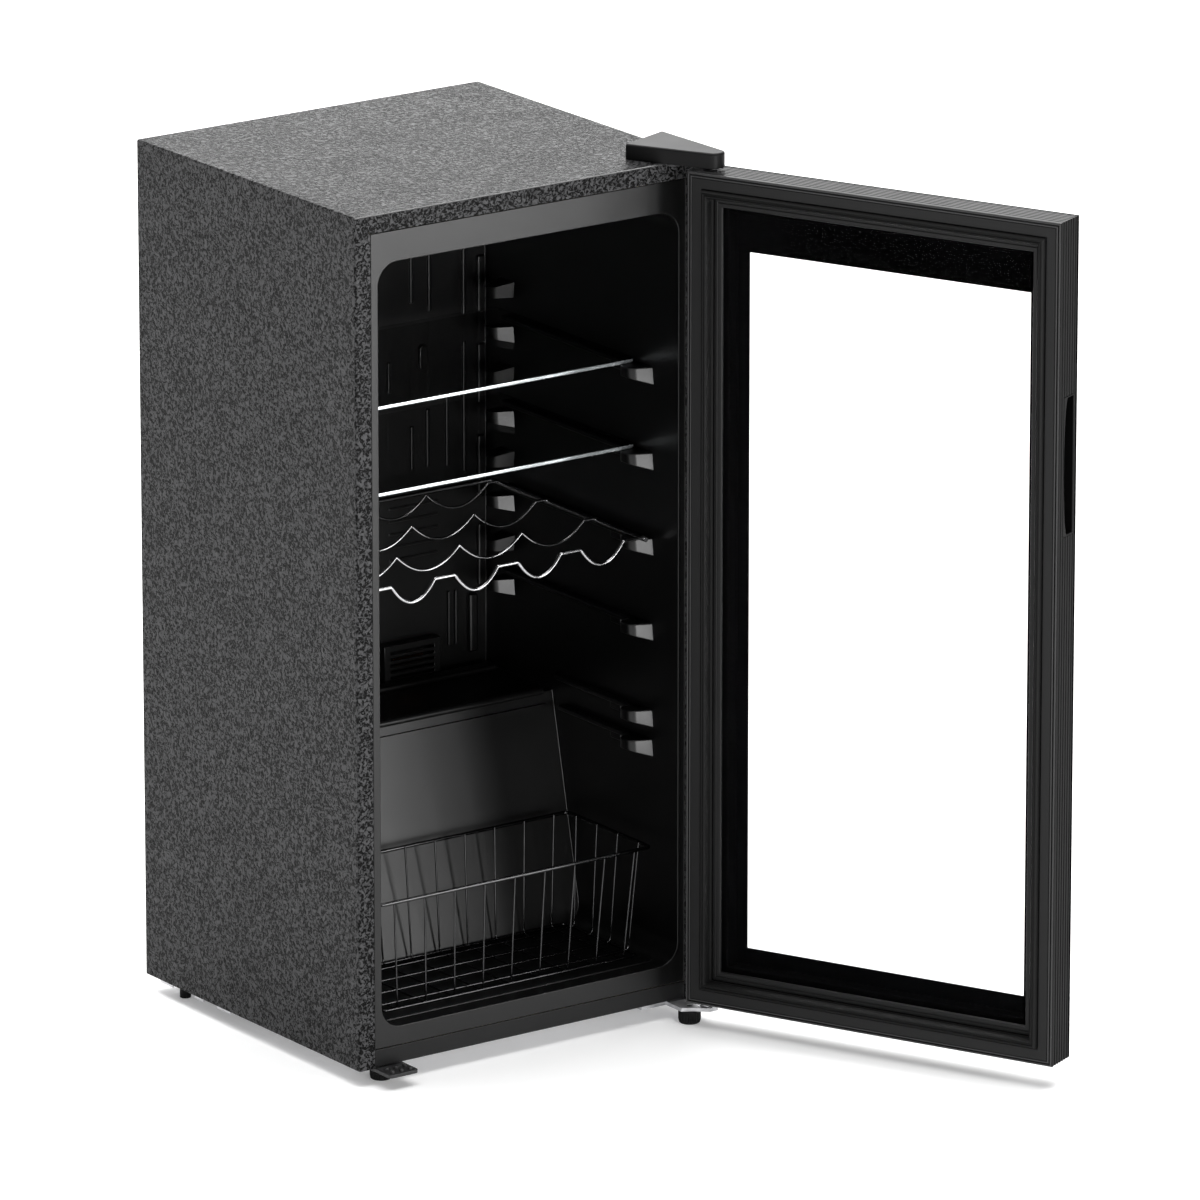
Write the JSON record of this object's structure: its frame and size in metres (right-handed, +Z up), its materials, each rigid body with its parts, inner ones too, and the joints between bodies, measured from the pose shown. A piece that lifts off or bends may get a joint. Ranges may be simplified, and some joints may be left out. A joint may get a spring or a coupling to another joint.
{
  "type": "wine cooler",
  "caption": "Upright compressor wine cooler with a full-height glass door on the right, glass shelves, a wavy bottle rack, a wire basket and a rear condenser.",
  "frame": {"origin": "middle of the bounding box with the door open at rest, on the floor under the feet", "axes": "+Z up, -Y towards the user who stands in front, +X to the user's right, the hinge side"},
  "size_m": [0.6092, 0.838, 0.9395],
  "materials": {
    "hammered_paint": "black hammer-textured enamel with a satin sheen",
    "black_plastic": "moulded black plastic, fine satin grain",
    "gloss_plastic": "polished black plastic",
    "liner_plastic": "smooth vacuum-formed black liner with a soft sheen",
    "galvanised": "zinc-coated sheet steel",
    "chrome": "bright chrome plating",
    "black_steel": "black enamelled steel",
    "copper": "drawn copper",
    "aluminium": "rolled aluminium",
    "clear_glass": "clear toughened glass with a printed black border",
    "rubber": "soft black rubber",
    "foam": "rigid cream foam",
    "lamp_plastic": "frosted diffuser plastic"
  },
  "bodies": {
    "cabinet": {"outer_shell": "hammered_paint", "front_apron": "black_plastic", "control_housing": "black_plastic", "starter_box": "black_plastic", "drain_pan": "black_plastic", "top_hinge_cover": "gloss_plastic", "inner_liner": "liner_plastic", "sensor_cover": "liner_plastic", "base_plate": "galvanised", "compressor_tray": "galvanised", "top_hinge_plate": "galvanised", "top_hinge_pin": "galvanised", "top_hinge_screw_1": "galvanised", "top_hinge_screw_2": "galvanised", "bottom_hinge_bracket": "galvanised", "bottom_hinge_pin": "galvanised", "bottom_hinge_screw_1": "galvanised", "bottom_hinge_screw_2": "galvanised", "lamp_board": "galvanised", "thermostat_body": "galvanised", "back_panel": "black_steel", "compressor": "black_steel", "condenser": "black_steel", "front_left_bracket": "black_steel", "temperature_sensor": "copper", "filter_drier": "copper", "suction_pipe": "copper", "discharge_pipe": "copper", "evaporator_plate": "aluminium", "compressor_grommet_1": "rubber", "compressor_grommet_2": "rubber", "compressor_grommet_3": "rubber", "compressor_grommet_4": "rubber", "mains_inlet_gland": "rubber", "rear_left_foot": "rubber", "rear_right_foot": "rubber", "foam_insulation": "foam", "lamp_lens": "lamp_plastic"},
    "door": {"door_outer_frame": "black_plastic", "door_inner_frame": "black_plastic", "glass_spacer": "black_plastic", "inner_glass": "clear_glass", "outer_glass": "clear_glass", "door_gasket": "rubber", "door_grip": "gloss_plastic", "door_bush_top": "rubber", "door_bush_bottom": "rubber"},
    "shelf_upper": {"shelf_upper": "clear_glass"},
    "shelf_lower": {"shelf_lower": "clear_glass"},
    "wine_rack": {"wine_rack": "chrome"},
    "basket": {"basket": "chrome"},
    "thermostat_knob": {"thermostat_knob": "black_plastic"},
    "light_rocker": {"light_rocker": "gloss_plastic"},
    "front_left_foot": {"front_left_foot": "rubber"},
    "front_right_foot": {"front_right_foot": "rubber"}
  },
  "joints": [
    {"name": "door_hinge", "type": "hinge", "parent": "cabinet", "child": "door", "pos_m": [0.11362, -0.02976, 0.018], "axis": [0, 0, 1], "range_deg": [-115, 65]},
    {"name": "shelf_upper_slide", "type": "slide", "parent": "cabinet", "child": "shelf_upper", "axis": [0, -1, 0], "range_m": [0, 0.09]},
    {"name": "shelf_lower_slide", "type": "slide", "parent": "cabinet", "child": "shelf_lower", "axis": [0, -1, 0], "range_m": [0, 0.09]},
    {"name": "wine_rack_slide", "type": "slide", "parent": "cabinet", "child": "wine_rack", "axis": [0, -1, 0], "range_m": [0, 0.25]},
    {"name": "basket_slide", "type": "slide", "parent": "cabinet", "child": "basket", "axis": [0, -1, 0], "range_m": [0, 0.17]},
    {"name": "thermostat_turn", "type": "hinge", "parent": "cabinet", "child": "thermostat_knob", "pos_m": [-0.04458, 0.09424, 0.85685], "axis": [0, -1, 0], "range_deg": [0, 270]},
    {"name": "light_rocker_tilt", "type": "hinge", "parent": "cabinet", "child": "light_rocker", "pos_m": [-0.13458, 0.10154, 0.85685], "axis": [1, 0, 0], "range_deg": [-7, 7]},
    {"name": "front_left_foot_turn", "type": "hinge", "parent": "cabinet", "child": "front_left_foot", "pos_m": [-0.26658, 0.01654, 0], "axis": [0, 0, 1], "continuous": true},
    {"name": "front_right_foot_turn", "type": "hinge", "parent": "cabinet", "child": "front_right_foot", "pos_m": [0.09862, -0.02046, 0], "axis": [0, 0, 1], "continuous": true}
  ]
}
